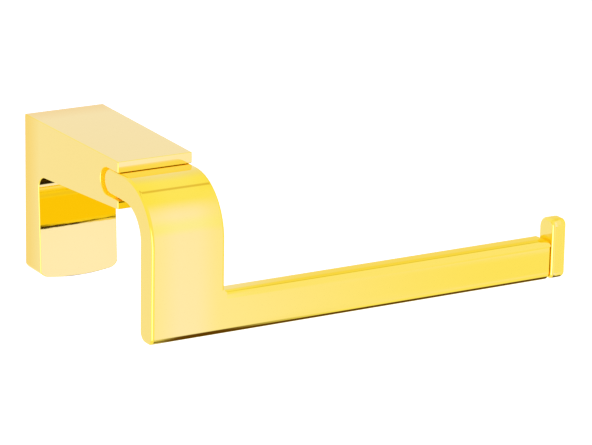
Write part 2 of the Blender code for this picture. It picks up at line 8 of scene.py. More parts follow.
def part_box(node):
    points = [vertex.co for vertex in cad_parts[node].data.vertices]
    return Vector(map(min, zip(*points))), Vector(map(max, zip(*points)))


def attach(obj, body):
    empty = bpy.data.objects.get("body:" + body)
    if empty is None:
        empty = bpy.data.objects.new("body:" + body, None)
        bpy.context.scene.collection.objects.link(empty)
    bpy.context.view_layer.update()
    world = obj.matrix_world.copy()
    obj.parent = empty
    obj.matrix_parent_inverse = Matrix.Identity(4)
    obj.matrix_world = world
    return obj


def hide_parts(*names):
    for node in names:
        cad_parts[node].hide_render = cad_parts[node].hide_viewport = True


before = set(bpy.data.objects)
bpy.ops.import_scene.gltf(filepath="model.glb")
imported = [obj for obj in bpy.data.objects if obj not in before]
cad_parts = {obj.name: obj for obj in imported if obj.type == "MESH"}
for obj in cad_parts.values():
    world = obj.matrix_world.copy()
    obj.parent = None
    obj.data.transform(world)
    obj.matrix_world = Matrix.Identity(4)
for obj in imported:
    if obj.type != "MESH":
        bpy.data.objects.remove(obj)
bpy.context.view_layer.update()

# Toilet paper holder in polished gold: the visible pieces, their finishes, the light tent and the camera.
# Metres. +X runs along the bar to the end stop, +Y into the wall, +Z up.

# ---------------------------------------------------------------- where the frame has each piece
BRACKET_LOW, BRACKET_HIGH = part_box("bracket_body")
ARM_LOW, ARM_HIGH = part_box("roll_arm")
STOP_LOW, STOP_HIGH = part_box("end_stop")
PLATE_LOW, PLATE_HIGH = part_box("wall_plate")
STUD_LOW, STUD_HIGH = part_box("end_stop_stud")
SET_LOW, SET_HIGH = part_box("set_screw")


def middle(name):
    low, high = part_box(name)
    return (low + high) / 2


# ---------------------------------------------------------------- sizes of the details
# bracket
BRACKET_FRONT_WIDTH = 0.0256
BACK_PLATE_DEPTH = 0.0110
ARM_DEPTH_AT_FRONT = 0.0151
ARM_DEPTH_AT_ROOT = 0.0183
UNDER_ARM_RADIUS = 0.0042
PLATE_LEAN = 0.0016  # how much nearer the wall the back plate's face is under the arm than at its foot
FOOT_ARCH_RADIUS = 0.0700
ARCH_STEPS = 24
FOOT_CORNER_RADIUS = 0.0036
TOP_CORNER_RADIUS = 0.0006
BRACKET_EDGE = 0.00028
BRACKET_WALL = 0.0025
FOOT_WALL = 0.0046
CAVITY_CORNER_RADIUS = 0.0030
UPPER_LIP = 0.0032  # the metal over the slot
SLOT_HEIGHT = 0.0092
SLOT_DEPTH = 0.0116
SLOT_WALL = 0.0051  # the metal between the slot and the hollow behind it
STRAP_SEAT_GAP = 0.00010
# strap and bar
STRAP_WIDTH = 0.0250
STRAP_THICKNESS = 0.0083
STRAP_BEND_RADIUS = 0.0185
STRAP_EDGE = 0.00085
BAR_HEIGHT = 0.0140
BAR_FOOT_RADIUS = 0.0032
BAR_TOP_RADIUS = 0.0028
BAR_TOP_STEPS = 14
BAR_END_RADIUS = 0.0025
INNER_CORNER_RADIUS = 0.0008
CROWN_RISE = 0.00010  # how far the bar's buffed face domes
THREAD_IN_ARM = 0.0014  # how much narrower the screw's hole is than the bush's socket
# end stop
STOP_FRONT_RADIUS = 0.0022
STOP_BACK_RADIUS = 0.0039
STOP_EDGE = 0.00085
STOP_OUTER_EDGE = 0.00140
STOP_CLOSER = 0.00020  # how far the visible stop reaches into the gap at the bar's end
# wall plate
PLATE_THICKNESS = 0.0020
PLATE_EDGE = 0.00030
BOSS_DIAMETER = 0.0095
BOSS_LIFT = 0.0010
SLOT_TRAVEL = 0.0024
SCREW_HOLE_RADIUS = 0.00225
PLATE_IN_CAVITY = 0.0002  # how much tighter the plate's corners are than the cavity's
# screws, plugs and washers
WALL_SCREW_SHANK = 0.0035
WALL_SCREW_HEAD = 0.0023
CROSS_WIDTH = 0.0010
CROSS_LENGTH = 0.0040
CROSS_DEPTH = 0.0013
PLUG_BORE = 0.0041
PLUG_RIBS = 5
PLUG_RIBS_FROM = 0.0048
PLUG_RIBS_STOP_SHORT = 0.0038
PLUG_SLIT = 0.0010
PLUG_SLIT_FROM = 0.0050
SET_SCREW_KEY = 0.0020
SET_SCREW_KEY_DEPTH = 0.0022
ARM_SCREW_SHANK = 0.0030
ARM_SCREW_HEAD = 0.0030
ARM_SCREW_KEY = 0.0025
ARM_SCREW_KEY_DEPTH = 0.0016
WASHER_HOLE = 0.0036
WASHER_REST = 0.0026  # how much wider the washer is than the hole under it
THREAD_EDGE = 0.0004
THREAD_RINGS = 9  # for each turn of a thread
THREAD_FLANK = 2.6  # steepness of its sides
# cutting
GAP = 0.0003  # between touching pieces
OVERCUT = 0.0010  # how far a cutter runs past what it cuts
HAIR = 0.00001  # a distance too small to matter
ARC_STEP = math.radians(3.5)
ROUND_NOSE_STEP = math.radians(3)
HOLE_STEP = math.radians(10)
HEX = 6
GOLD_SHARP = 40  # degrees, the least bend that counts as an edge

SLOT_Z = BRACKET_HIGH.z - UPPER_LIP - SLOT_HEIGHT / 2
SLOT_BOTTOM_Y = BRACKET_LOW.y + SLOT_DEPTH
HOLLOW_FRONT_Y = SLOT_BOTTOM_Y + SLOT_WALL
CAVITY_FRONT_Y = -(BACK_PLATE_DEPTH - BRACKET_WALL)
BAR_TOP = ARM_LOW.z + BAR_HEIGHT
BAR_BACK_Y = ARM_LOW.y + STRAP_THICKNESS
ARM_SCREWS = {side: middle(f"arm_screw_{side}") for side in ("left", "right")}
WALL_SCREWS = {which: middle(f"wall_screw_{which}") for which in ("upper", "lower")}


# ---------------------------------------------------------------- shape tools
def rounded_outline(corners, step=ARC_STEP):
    """Points of a closed outline from (a, b, radius) corners, with a fine arc where the radius isn't 0."""
    points = []
    for i, (a, b, radius) in enumerate(corners):
        here = Vector((a, b))
        if radius == 0:
            points.append(here)
            continue
        before = (Vector(corners[i - 1][:2]) - here).normalized()
        after = (Vector(corners[(i + 1) % len(corners)][:2]) - here).normalized()
        half = before.angle(after) / 2
        start = here + before * radius / math.tan(half)
        centre = here + (before + after).normalized() * radius / math.sin(half)
        turn = math.pi - 2 * half
        if before.cross(after) > 0:
            turn = -turn
        steps = max(3, round(abs(turn) / step))
        for k in range(steps + 1):
            points.append(centre + Matrix.Rotation(turn * k / steps, 2) @ (start - centre))
    return [p for i, p in enumerate(points) if (p - points[i - 1]).length > HAIR / 10]


def link(name, data):
    made = bpy.data.objects.new(name, data)
    bpy.context.scene.collection.objects.link(made)
    return made


def thing_from(name, shell):
    """The bmesh shell as a thing in the scene."""
    mesh = bpy.data.meshes.new(name)
    shell.to_mesh(mesh)
    shell.free()
    return link(name, mesh)


def prism(name, outline, low, high, across):
    """A solid with a flat outline, run from low to high along the axis that the outline lies across."""
    seats = {
        "x": lambda a, b, c: (c, a, b),
        "y": lambda a, b, c: (a, c, b),
        "z": lambda a, b, c: (a, b, c),
    }
    seat = seats[across]
    shell = bmesh.new()
    rings = [[shell.verts.new(seat(p[0], p[1], level)) for p in outline] for level in (low, high)]
    count = len(outline)
    for i in range(count):
        j = (i + 1) % count
        shell.faces.new((rings[0][i], rings[0][j], rings[1][j], rings[1][i]))
    shell.faces.new(rings[0][::-1])
    shell.faces.new(rings[1])
    bmesh.ops.recalc_face_normals(shell, faces=shell.faces)
    return thing_from(name, shell)


def rod(name, diameter, start, end, sides=48):
    start, end = Vector(start), Vector(end)
    shell = bmesh.new()
    bmesh.ops.create_cone(shell, cap_ends=True, segments=sides, radius1=diameter / 2, radius2=diameter / 2,
                          depth=(end - start).length)
    turn = (end - start).to_track_quat("Z", "Y").to_matrix().to_4x4()
    bmesh.ops.transform(shell, matrix=Matrix.Translation((start + end) / 2) @ turn, verts=shell.verts)
    return thing_from(name, shell)


def settle(thing):
    """The thing's modifiers made into its mesh."""
    bpy.context.view_layer.update()
    mesh = bpy.data.meshes.new_from_object(thing.evaluated_get(bpy.context.evaluated_depsgraph_get()))
    thing.modifiers.clear()
    thing.data = mesh
    return thing


def combine(thing, other, operation="DIFFERENCE"):
    step = thing.modifiers.new(other.name, "BOOLEAN")
    step.operation = operation
    step.object = other
    settle(thing)
    bpy.data.objects.remove(other, do_unlink=True)
    return thing


def hex_socket(thing, across_flats, start, end):
    """Sinks a hex key's socket into the thing."""
    return combine(thing, rod("socket", across_flats / math.cos(math.pi / HEX), start, end, sides=HEX))


def soften(thing, width):
    """Rounds every sharp edge."""
    step = thing.modifiers.new("Edge", "BEVEL")
    step.width = width
    step.segments = 3
    step.limit_method = "ANGLE"
    step.angle_limit = math.radians(32)
    step.use_clamp_overlap = False
    step.miter_outer = "MITER_ARC"
    return settle(thing)


def soften_where(thing, width, chosen):
    """Rounds only the sharp edges whose two ends are chosen."""
    shell = bmesh.new()
    shell.from_mesh(thing.data)
    sharp = math.radians(GOLD_SHARP)
    edges = [e for e in shell.edges if len(e.link_faces) == 2 and e.calc_face_angle() > sharp
             and all(chosen(v.co) for v in e.verts)]
    bmesh.ops.bevel(shell, geom=edges, offset=width, segments=5, profile=0.5, affect="EDGES",
                    clamp_overlap=False)
    bmesh.ops.recalc_face_normals(shell, faces=shell.faces)
    shell.to_mesh(thing.data)
    shell.free()
    return thing


def finish_shading(thing, sharp_from):
    """Shades the thing smooth, apart from edges that bend by more than sharp_from degrees."""
    thing.data.shade_smooth()
    thing.data.set_sharp_from_angle(angle=math.radians(sharp_from))
    step = thing.modifiers.new("Normals", "WEIGHTED_NORMAL")
    step.keep_sharp = True
    step.weight = 60


def turned(name, profile, base, axis, sides=48, thread=None):
    """A turned piece from (radius, height) points. A thread is (low, high, pitch, depth)."""
    low, high, pitch, depth = thread or (0, 0, 1, 0)
    rings = []
    for (r0, h0), (r1, h1) in zip(profile, profile[1:]):
        steps = 1
        if thread and low - HAIR < min(h0, h1) and max(h0, h1) < high + HAIR and r0 > 0 and r1 > 0:
            steps = max(1, round(abs(h1 - h0) / (pitch / THREAD_RINGS)))
        for k in range(steps):
            rings.append((r0 + (r1 - r0) * k / steps, h0 + (h1 - h0) * k / steps))
    rings.append(profile[-1])
    turn = Vector(axis).to_track_quat("Z", "Y").to_matrix().to_4x4()
    place = Matrix.Translation(base) @ turn
    shell = bmesh.new()
    grid = []
    for radius, height in rings:
        if radius == 0:
            grid.append([shell.verts.new(place @ Vector((0, 0, height)))])
            continue
        ring = []
        for k in range(sides):
            angle = 2 * math.pi * k / sides
            r = radius
            if thread and low < height < high:
                phase = (height / pitch - k / sides) % 1.0
                root = min(1.0, THREAD_FLANK * min(phase, 1 - phase)) - 1.0
                fade = min(1.0, (height - low) / pitch, (high - height) / pitch)
                r += depth * root * fade
            ring.append(shell.verts.new(place @ Vector((r * math.cos(angle), r * math.sin(angle), height))))
        grid.append(ring)
    closed = rings[0][0] > 0 and rings[-1][0] > 0
    pairs = list(zip(grid, grid[1:])) + ([(grid[-1], grid[0])] if closed else [])
    for a, b in pairs:
        for k in range(sides):
            m = (k + 1) % sides
            if len(a) == 1:
                shell.faces.new((a[0], b[m], b[k]))
            elif len(b) == 1:
                shell.faces.new((a[k], a[m], b[0]))
            else:
                shell.faces.new((a[k], a[m], b[m], b[k]))
    bmesh.ops.recalc_face_normals(shell, faces=shell.faces)
    return thing_from(name, shell)


# ---------------------------------------------------------------- finishes
def node_group(name, inputs, outputs):
    group = bpy.data.node_groups.new(name, "ShaderNodeTree")
    for label, kind, default in inputs:
        socket = group.interface.new_socket(label, in_out="INPUT", socket_type=kind)
        if default is not None:
            socket.default_value = default
    for label, kind in outputs:
        group.interface.new_socket(label, in_out="OUTPUT", socket_type=kind)
    return group, group.nodes.new("NodeGroupInput"), group.nodes.new("NodeGroupOutput")


def node(tree, kind, values=None, **settings):
    made = tree.nodes.new(kind)
    for key, value in settings.items():
        setattr(made, key, value)
    for key, value in (values or {}).items():
        made.inputs[key].default_value = value
    return made


def ramp(tree, low, high, to_low, to_high, smooth=True):
    limits = {1: low, 2: high, 3: to_low, 4: to_high}
    kind = "SMOOTHSTEP" if smooth else "LINEAR"
    return node(tree, "ShaderNodeMapRange", limits, interpolation_type=kind)


def polish_group():
    """Fine lapping marks and a faint cloudiness, as on buffed and plated metal."""
    group, start, end = node_group(
        "buffed_surface",
        [("Vector", "NodeSocketVector", None), ("Cloud Scale", "NodeSocketFloat", 60.0),
         ("Mark Scale", "NodeSocketFloat", 900.0), ("Roughness", "NodeSocketFloat", 0.06),
         ("Spread", "NodeSocketFloat", 0.02)],
        [("Roughness", "NodeSocketFloat"), ("Cloud", "NodeSocketFloat"), ("Height", "NodeSocketFloat")],
    )
    cloud = node(group, "ShaderNodeTexNoise", {"Detail": 4.0, "Roughness": 0.55})
    stretch = node(group, "ShaderNodeMapping", {"Scale": (0.12, 1.0, 1.0)})
    marks = node(group, "ShaderNodeTexNoise", {"Detail": 3.0, "Roughness": 0.6})
    join = group.links.new
    join(start.outputs["Vector"], cloud.inputs["Vector"])
    join(start.outputs["Cloud Scale"], cloud.inputs["Scale"])
    join(start.outputs["Vector"], stretch.inputs["Vector"])
    join(stretch.outputs["Vector"], marks.inputs["Vector"])
    join(start.outputs["Mark Scale"], marks.inputs["Scale"])
    both = node(group, "ShaderNodeMath", {1: 0.5}, operation="MULTIPLY_ADD")
    join(marks.outputs["Fac"], both.inputs[0])
    join(cloud.outputs["Fac"], both.inputs[2])
    lift = node(group, "ShaderNodeMath", operation="MULTIPLY_ADD")
    join(both.outputs[0], lift.inputs[0])
    join(start.outputs["Spread"], lift.inputs[1])
    join(start.outputs["Roughness"], lift.inputs[2])
    join(lift.outputs[0], end.inputs["Roughness"])
    join(cloud.outputs["Fac"], end.inputs["Cloud"])
    join(marks.outputs["Fac"], end.inputs["Height"])
    return group


def grain_group():
    """A mottled grain, for plated, blackened and moulded pieces."""
    group, start, end = node_group(
        "fine_grain",
        [("Vector", "NodeSocketVector", None), ("Scale", "NodeSocketFloat", 500.0)],
        [("Grain", "NodeSocketFloat")],
    )
    grain = node(group, "ShaderNodeTexNoise", {"Detail": 5.0, "Roughness": 0.6})
    join = group.links.new
    join(start.outputs["Vector"], grain.inputs["Vector"])
    join(start.outputs["Scale"], grain.inputs["Scale"])
    join(grain.outputs["Fac"], end.inputs["Grain"])
    return group


def crown_group():
    """Height of the bar's buffed face: barely domed across the bar, and dying out towards the strap."""
    group, start, end = node_group(
        "buffed_crown",
        [("Vector", "NodeSocketVector", None), ("Middle", "NodeSocketFloat", 0.0),
         ("Half", "NodeSocketFloat", 1.0), ("From", "NodeSocketFloat", 0.0), ("To", "NodeSocketFloat", 1.0),
         ("Rise", "NodeSocketFloat", 0.0001)],
        [("Height", "NodeSocketFloat")],
    )
    join = group.links.new
    parts = node(group, "ShaderNodeSeparateXYZ")
    join(start.outputs["Vector"], parts.inputs[0])
    off = node(group, "ShaderNodeMath", operation="SUBTRACT")
    join(parts.outputs["Z"], off.inputs[0])
    join(start.outputs["Middle"], off.inputs[1])
    share = node(group, "ShaderNodeMath", operation="DIVIDE")
    join(off.outputs[0], share.inputs[0])
    join(start.outputs["Half"], share.inputs[1])
    square = node(group, "ShaderNodeMath", operation="MULTIPLY")
    join(share.outputs[0], square.inputs[0])
    join(share.outputs[0], square.inputs[1])
    grow = ramp(group, 0.0, 1.0, 0.0, -1.0)
    join(parts.outputs["X"], grow.inputs[0])
    join(start.outputs["From"], grow.inputs[1])
    join(start.outputs["To"], grow.inputs[2])
    dome = node(group, "ShaderNodeMath", operation="MULTIPLY")
    join(square.outputs[0], dome.inputs[0])
    join(grow.outputs[0], dome.inputs[1])
    out = node(group, "ShaderNodeMath", operation="MULTIPLY")
    join(dome.outputs[0], out.inputs[0])
    join(start.outputs["Rise"], out.inputs[1])
    join(out.outputs[0], end.inputs["Height"])
    return group


def recess_group():
    """One inside a box of the object, and nothing outside it."""
    group, start, end = node_group(
        "inside_box",
        [("Vector", "NodeSocketVector", None), ("Middle", "NodeSocketVector", None),
         ("Half", "NodeSocketVector", None)],
        [("Inside", "NodeSocketFloat")],
    )
    join = group.links.new
    off = node(group, "ShaderNodeVectorMath", operation="SUBTRACT")
    size = node(group, "ShaderNodeVectorMath", operation="ABSOLUTE")
    room = node(group, "ShaderNodeVectorMath", operation="SUBTRACT")
    join(start.outputs["Vector"], off.inputs[0])
    join(start.outputs["Middle"], off.inputs[1])
    join(off.outputs[0], size.inputs[0])
    join(start.outputs["Half"], room.inputs[0])
    join(size.outputs[0], room.inputs[1])
    parts = node(group, "ShaderNodeSeparateXYZ")
    join(room.outputs[0], parts.inputs[0])
    least = parts.outputs["X"]
    for label in ("Y", "Z"):
        smaller = node(group, "ShaderNodeMath", operation="MINIMUM")
        join(least, smaller.inputs[0])
        join(parts.outputs[label], smaller.inputs[1])
        least = smaller.outputs[0]
    grow = ramp(group, 0.0, 0.0001, 0.0, 1.0)
    join(least, grow.inputs[0])
    join(grow.outputs[0], end.inputs["Inside"])
    return group


BUFFED = polish_group()
GRAIN = grain_group()
CROWN = crown_group()
RECESS = recess_group()


def place_on(material):
    """Where a point of the surface is on the object."""
    return next(n for n in material.node_tree.nodes if n.type == "TEX_COORD").outputs["Object"]


def placed(material, group, values):
    """The group in the material, at the surface's own place, with its values set."""
    tree = material.node_tree
    made = node(tree, "ShaderNodeGroup")
    made.node_tree = group
    for label, value in values.items():
        made.inputs[label].default_value = value
    tree.links.new(place_on(material), made.inputs["Vector"])
    return made


def along(material, axis):
    """The surface's place along one axis of the object."""
    tree = material.node_tree
    parts = node(tree, "ShaderNodeSeparateXYZ")
    tree.links.new(place_on(material), parts.inputs[0])
    return parts.outputs[axis]


def lay_shade(material, colour, mask):
    """Lays a shade over the material's own colour where the mask is full."""
    tree = material.node_tree
    base = tree.nodes["Principled BSDF"].inputs["Base Color"]
    shade = node(tree, "ShaderNodeMix", data_type="RGBA")
    shade.inputs[7].default_value = (*colour, 1.0)
    tree.links.new(mask, shade.inputs[0])
    tree.links.new(base.links[0].from_socket, shade.inputs[6])
    tree.links.new(shade.outputs[2], base)


def inside_box(material, low, high):
    """The mask of a box of the object, in the material."""
    box = placed(material, RECESS, {"Middle": (low + high) / 2, "Half": (high - low) / 2})
    return box.outputs["Inside"]


def add_crown(material):
    """Lays the bar's dome under the material's fine relief."""
    tree = material.node_tree
    relief = next(n for n in tree.nodes if n.type == "BUMP")
    dome = placed(material, CROWN, {
        "Middle": (BAR_TOP + ARM_LOW.z) / 2, "Half": BAR_HEIGHT / 2,
        "From": STRAP_WIDTH / 2, "To": STRAP_WIDTH * 2, "Rise": CROWN_RISE,
    })
    under = node(tree, "ShaderNodeBump", {"Strength": 1.0, "Distance": 1.0})
    tree.links.new(dome.outputs["Height"], under.inputs["Height"])
    tree.links.new(under.outputs["Normal"], relief.inputs["Normal"])


def satin_with_tint(material, low, high, roughness, colour):
    """A satin finish inside a box, where no buffing wheel reaches, tinted with the given colour: a painted
    shade in the slot, the casting's own skin in the hollows.
    """
    tree = material.node_tree
    within = inside_box(material, low, high)
    rough = tree.nodes["Principled BSDF"].inputs["Roughness"]
    satin = node(tree, "ShaderNodeMix", data_type="FLOAT")
    satin.inputs[3].default_value = roughness
    tree.links.new(within, satin.inputs[0])
    tree.links.new(rough.links[0].from_socket, satin.inputs[2])
    tree.links.new(satin.outputs[0], rough)
    lay_shade(material, colour, within)


def hold_light(material, low, high, colour):
    """A faint glow inside a box, for the light that bounces there until it comes out."""
    tree = material.node_tree
    shader = tree.nodes["Principled BSDF"]
    held = node(tree, "ShaderNodeMix", data_type="RGBA")
    held.inputs[6].default_value = (0.0, 0.0, 0.0, 1.0)
    held.inputs[7].default_value = (*colour, 1.0)
    tree.links.new(inside_box(material, low, high), held.inputs[0])
    tree.links.new(held.outputs[2], shader.inputs["Emission Color"])
    shader.inputs["Emission Strength"].default_value = 1.0


def paint_shade_to_edge(material, colour, start, end):
    """Lays a painted deeper shade on away from the middle of the strap, standing in for the reflections on
    its rounded edges.
    """
    tree = material.node_tree
    off = node(tree, "ShaderNodeMath", operation="ABSOLUTE")
    tree.links.new(along(material, "X"), off.inputs[0])
    near = ramp(tree, start, end, 0.0, 1.0)
    tree.links.new(off.outputs[0], near.inputs[0])
    lay_shade(material, colour, near.outputs[0])


def paint_shade_to_wall(material, colour, start, end):
    """Lays a painted deeper shade on towards the wall, standing in for the reflections there."""
    tree = material.node_tree
    near = ramp(tree, start, end, 0.0, 1.0, smooth=False)
    tree.links.new(along(material, "Y"), near.inputs[0])
    lay_shade(material, colour, near.outputs[0])


def finish(name, light, dark, roughness, spread, metallic, group, scale, relief_strength):
    """Two close shades mixed by the group's pattern, with its roughness and tiny relief."""
    made = bpy.data.materials.new(name)
    made.use_nodes = True
    tree = made.node_tree
    shader = tree.nodes["Principled BSDF"]
    shader.inputs["Metallic"].default_value = metallic
    node(tree, "ShaderNodeTexCoord")
    join = tree.links.new
    shade = node(tree, "ShaderNodeMix", data_type="RGBA")
    shade.inputs[6].default_value = (*light, 1.0)
    shade.inputs[7].default_value = (*dark, 1.0)
    relief = node(tree, "ShaderNodeBump", {"Strength": relief_strength, "Distance": 0.0001})
    if group is BUFFED:
        pattern = placed(made, group, {"Roughness": roughness, "Spread": spread, "Cloud Scale": scale})
        join(pattern.outputs["Roughness"], shader.inputs["Roughness"])
        join(pattern.outputs["Cloud"], shade.inputs[0])
        join(pattern.outputs["Height"], relief.inputs["Height"])
    else:
        pattern = placed(made, group, {"Scale": scale})
        rough = ramp(tree, 0.2, 0.8, roughness, roughness + spread, smooth=False)
        join(pattern.outputs["Grain"], rough.inputs[0])
        join(rough.outputs[0], shader.inputs["Roughness"])
        join(pattern.outputs["Grain"], shade.inputs[0])
        join(pattern.outputs["Grain"], relief.inputs["Height"])
    join(shade.outputs[2], shader.inputs["Base Color"])
    join(relief.outputs["Normal"], shader.inputs["Normal"])
    return made


GOLD = (0.99, 0.790, 0.100)
GOLD_DEEP = (0.99, 0.780, 0.092)
# painted shades that stand in for reflections: deeper gold towards the wall and towards the strap's edges
GOLD_PAINTED_SHADE_AT_WALL = (0.97, 0.690, 0.035)
GOLD_PAINTED_SHADE_AT_EDGE = (0.99, 0.775, 0.070)
# painted shade: the deeper gold in the slot stands in for the light bounced between the strap and the slot
GOLD_PAINTED_SHADE_IN_SLOT = (1.00, 0.800, 0.040)
GOLD_CAST = (0.93, 0.690, 0.160)
LIGHT_IN_SLOT = (0.24, 0.120, 0.000)  # stands in for the light that bounces between the strap and the slot
SLOT_ROUGHNESS = 0.70
CAST_ROUGHNESS = 0.50
# light shade, dark shade, roughness, how far it varies, metallic, pattern, its scale, strength of relief
FINISHES = {name: finish(name, *look) for name, look in {
    "bracket_gold": (GOLD, GOLD_DEEP, 0.012, 0.016, 1.0, BUFFED, 45.0, 0.02),
    "arm_gold": (GOLD, GOLD_DEEP, 0.014, 0.020, 1.0, BUFFED, 40.0, 0.02),
    "stop_gold": (GOLD, GOLD_DEEP, 0.025, 0.030, 1.0, BUFFED, 60.0, 0.02),
    "zinc_plate": ((0.70, 0.72, 0.74), (0.50, 0.52, 0.55), 0.26, 0.18, 1.0, GRAIN, 420.0, 0.10),
    "steel": ((0.64, 0.65, 0.66), (0.50, 0.51, 0.53), 0.22, 0.12, 1.0, GRAIN, 900.0, 0.06),
    "black_steel": ((0.045, 0.045, 0.050), (0.020, 0.020, 0.022), 0.34, 0.20, 1.0, GRAIN, 1100.0, 0.12),
    "brass": ((0.86, 0.68, 0.32), (0.74, 0.54, 0.22), 0.22, 0.12, 1.0, GRAIN, 800.0, 0.06),
    "nylon": ((0.66, 0.67, 0.66), (0.56, 0.57, 0.56), 0.48, 0.14, 0.0, GRAIN, 700.0, 0.25),
}.items()}


def work_gold_in_slot():
    """The inner faces of the slot, and the strap's nose in it, are satin, with a painted deeper shade and a
    painted warm glow for the light that bounces between them.
    """
    room, behind_edge, dark_mouth = SLOT_HEIGHT / 2 + 0.0004, 0.0006, 0.0030
    for slot, half_wide, behind in (("bracket_gold", BRACKET_FRONT_WIDTH / 2 - 0.0001, 0.0006),
                                    ("arm_gold", STRAP_WIDTH / 2 - 0.0003, 0.0)):
        low = Vector((-half_wide, BRACKET_LOW.y + behind_edge, SLOT_Z - room))
        high = Vector((half_wide, SLOT_BOTTOM_Y + behind, SLOT_Z + room))
        satin_with_tint(FINISHES[slot], low, high, SLOT_ROUGHNESS, GOLD_PAINTED_SHADE_IN_SLOT)
        hold_light(FINISHES[slot], low + Vector((0, dark_mouth, 0)), high, LIGHT_IN_SLOT)


def work_gold_in_hollow():
    """The cavity behind the back plate and the hollow in the arm keep the casting's own skin."""
    skin = BRACKET_WALL / 2
    for half_wide, front, back, foot in (
            (BRACKET_HIGH.x - skin, CAVITY_FRONT_Y - 0.0003, -0.0002, BRACKET_LOW.z + FOOT_WALL / 2),
            (BRACKET_FRONT_WIDTH / 2 - skin, HOLLOW_FRONT_Y - 0.0010, CAVITY_FRONT_Y,
             BRACKET_HIGH.z - ARM_DEPTH_AT_FRONT + 0.0004)):
        low, high = Vector((-half_wide, front, foot)), Vector((half_wide, back, BRACKET_HIGH.z - skin))
        satin_with_tint(FINISHES["bracket_gold"], low, high, CAST_ROUGHNESS, GOLD_CAST)


add_crown(FINISHES["arm_gold"])
# painted shade: deeper gold near the wall on the bracket, and away from the strap's middle on the arm
paint_shade_to_wall(FINISHES["bracket_gold"], GOLD_PAINTED_SHADE_AT_WALL, -0.0105, -0.0020)
paint_shade_to_edge(FINISHES["arm_gold"], GOLD_PAINTED_SHADE_AT_EDGE, 0.0020, 0.0120)
work_gold_in_slot()
work_gold_in_hollow()


def fit(thing, nodes, body, slot):
    """The thing takes the frame nodes' place on its body, in its finish."""
    thing.data.materials.clear()
    thing.data.materials.append(FINISHES[slot])
    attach(thing, body)
    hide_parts(*nodes)
    return thing


# ---------------------------------------------------------------- bracket body
def under_arm(y):
    """Height of the arm's sloping underside."""
    share = (-y - BACK_PLATE_DEPTH) / (-BRACKET_LOW.y - BACK_PLATE_DEPTH)
    return BRACKET_HIGH.z - ARM_DEPTH_AT_ROOT + share * (ARM_DEPTH_AT_ROOT - ARM_DEPTH_AT_FRONT)


def bracket_body():
    low, high = BRACKET_LOW, BRACKET_HIGH
    slot_top, front = ARM_HIGH.z + STRAP_SEAT_GAP, BRACKET_LOW.y
    half_slot = (slot_top - SLOT_Z + SLOT_HEIGHT / 2) / 2
    body = prism("polished_bracket", rounded_outline([
        (0, high.z, 0), (front, high.z, 0), (front, slot_top, 0),
        (SLOT_BOTTOM_Y, slot_top, half_slot), (SLOT_BOTTOM_Y, slot_top - 2 * half_slot, half_slot),
        (front, slot_top - 2 * half_slot, 0), (front, under_arm(front), 0),
        (-BACK_PLATE_DEPTH + PLATE_LEAN, under_arm(-BACK_PLATE_DEPTH), UNDER_ARM_RADIUS),
        (-BACK_PLATE_DEPTH, low.z, 0), (0, low.z, 0),
    ]), low.x - OVERCUT, high.x + OVERCUT, "x")
    tip = BRACKET_FRONT_WIDTH / 2
    spread = (high.x - tip) / -front * OVERCUT
    combine(body, prism("plan", [
        (low.x - spread, OVERCUT), (-tip + spread, front - OVERCUT),
        (tip - spread, front - OVERCUT), (high.x + spread, OVERCUT),
    ], low.z - OVERCUT, high.z + OVERCUT, "z"), "INTERSECT")
    proud = OVERCUT / 4
    side = high.x + proud
    arch_end = side - FOOT_CORNER_RADIUS - proud
    arch = []
    for k in range(ARCH_STEPS + 1):
        x = -arch_end + 2 * arch_end * k / ARCH_STEPS
        arch.append((x, low.z + FOOT_ARCH_RADIUS - math.sqrt(FOOT_ARCH_RADIUS**2 - x**2), 0))
    slope = arch_end / math.sqrt(FOOT_ARCH_RADIUS**2 - arch_end**2)
    corner_z = arch[0][1] + slope * (side - arch_end)
    combine(body, prism("front", rounded_outline([
        (-side, high.z + proud, TOP_CORNER_RADIUS), (-side, corner_z, FOOT_CORNER_RADIUS), *arch,
        (side, corner_z, FOOT_CORNER_RADIUS), (side, high.z + proud, TOP_CORNER_RADIUS),
    ]), front - OVERCUT, OVERCUT, "y"), "INTERSECT")
    soften(body, BRACKET_EDGE)

    half_width = high.x - BRACKET_WALL
    top, foot = high.z - BRACKET_WALL, low.z + FOOT_WALL
    combine(body, prism("cavity", rounded_outline([
        (-half_width, top, CAVITY_CORNER_RADIUS), (-half_width, foot, CAVITY_CORNER_RADIUS),
        (half_width, foot, CAVITY_CORNER_RADIUS), (half_width, top, CAVITY_CORNER_RADIUS),
    ]), CAVITY_FRONT_Y, OVERCUT, "y"))
    back = CAVITY_FRONT_Y + OVERCUT
    hollow = tip - BRACKET_WALL
    combine(body, prism("hollow", [
        (back, top), (HOLLOW_FRONT_Y, top),
        (HOLLOW_FRONT_Y, under_arm(HOLLOW_FRONT_Y) + BRACKET_WALL), (back, under_arm(back) + BRACKET_WALL),
    ], -hollow, hollow, "x"))
    for side_name, at in ARM_SCREWS.items():
        bush_low, bush_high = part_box(f"arm_bush_{side_name}")
        washer_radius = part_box(f"arm_washer_{side_name}")[1].x - at.x
        combine(body, rod("bore", 2 * washer_radius - WASHER_REST, (at.x, HOLLOW_FRONT_Y + OVERCUT, at.z),
                          (at.x, SLOT_BOTTOM_Y - half_slot, at.z)))
        combine(body, rod("seat", bush_high.x - bush_low.x + 2 * GAP, (at.x, bush_high.y + GAP, at.z),
                          (at.x, SLOT_BOTTOM_Y - half_slot, at.z)))
    at = middle("set_screw")
    thread = SET_HIGH.x - SET_LOW.x + 2 * GAP
    combine(body, rod("tapped", thread, (at.x, at.y, low.z - OVERCUT), (at.x, at.y, foot + OVERCUT)))
    finish_shading(body, GOLD_SHARP)
    return fit(body, ["bracket_body"], "holder", "bracket_gold")


